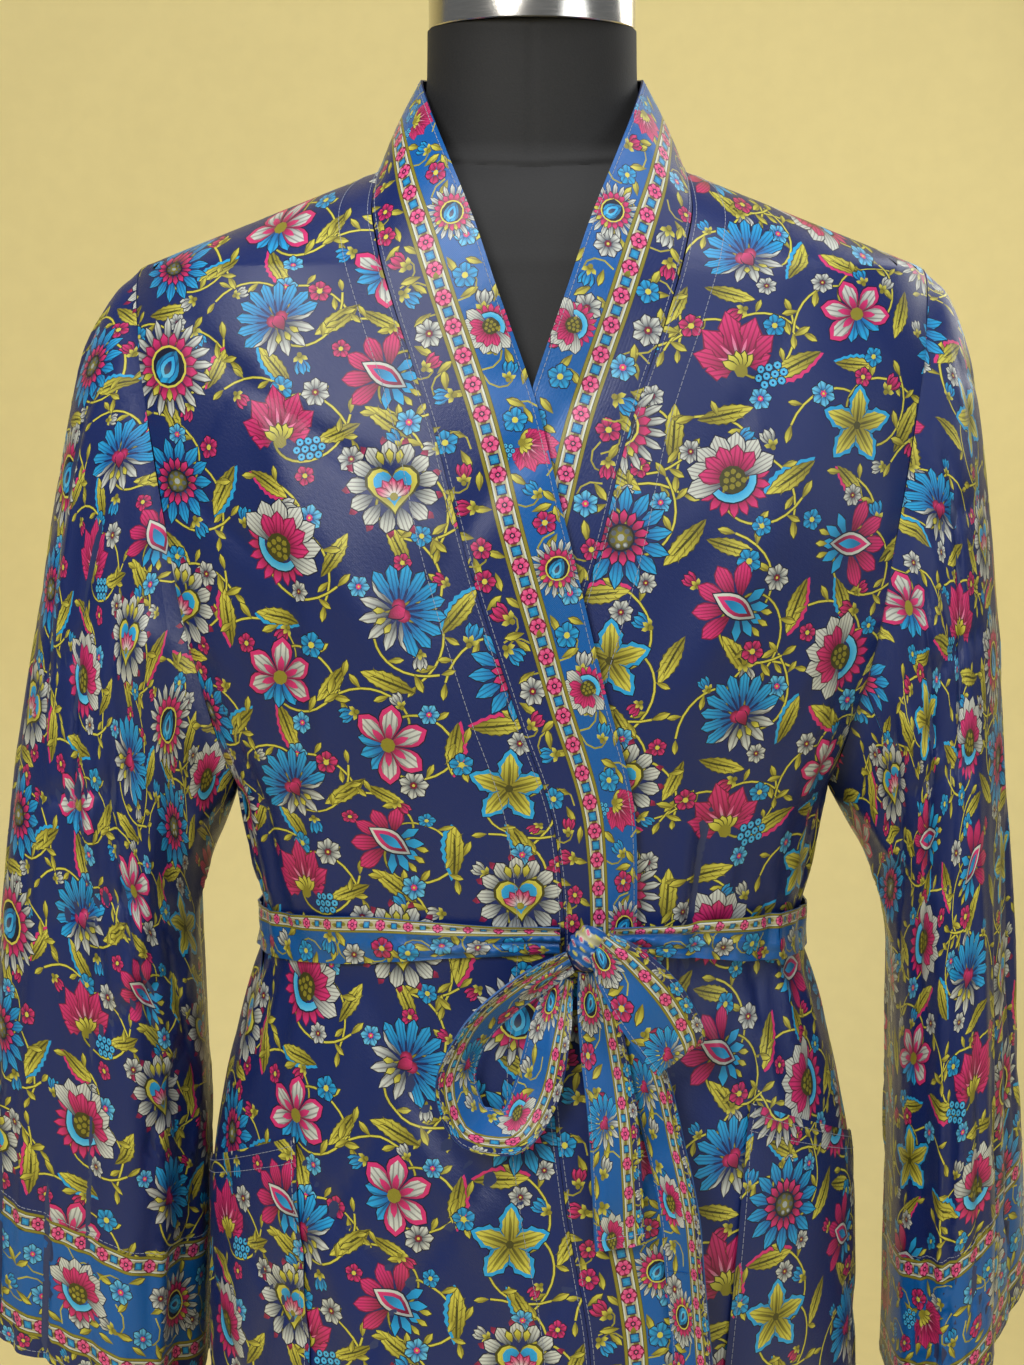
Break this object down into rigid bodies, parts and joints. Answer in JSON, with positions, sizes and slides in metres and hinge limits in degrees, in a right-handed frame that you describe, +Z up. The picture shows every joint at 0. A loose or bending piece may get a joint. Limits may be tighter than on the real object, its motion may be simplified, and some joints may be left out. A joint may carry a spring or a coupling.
{
  "type": "kimono robe on a limbless dress form",
  "caption": "Knee-length kimono robe with wide sleeves, a wrapped front, patch pockets and a tied belt, worn on a limbless dress form on a round-footed pole stand.",
  "frame": {"origin": "middle of the underside of the stand's round foot, on the floor", "axes": "+Z up; -Y the way the robe's front faces; +X the wearer's left"},
  "size_m": [0.6735, 0.37, 1.5633],
  "materials": {
    "printed_satin": "navy satin with a small-scale floral print, soft sheen",
    "border_satin": "bright blue satin with a patterned stripe and small flowers, soft sheen",
    "form_cover": "black stretched cloth, dull",
    "form_steel": "bright brushed steel",
    "foot_enamel": "black enamel, satin"
  },
  "bodies": {
    "root": {"back": "printed_satin", "front_right": "printed_satin", "front_left": "printed_satin", "sleeve_right": "printed_satin", "sleeve_left": "printed_satin", "pocket_right": "printed_satin", "pocket_left": "printed_satin", "band_right": "border_satin", "band_left": "border_satin", "belt_wrap": "border_satin", "belt_knot": "border_satin", "belt_loop_left": "border_satin", "belt_loop_right": "border_satin", "belt_tail_short": "border_satin", "belt_tail_long": "border_satin", "form_torso": "form_cover", "form_neck_cap": "form_steel", "form_pole": "form_steel", "form_foot": "foot_enamel"}
  },
  "joints": []
}
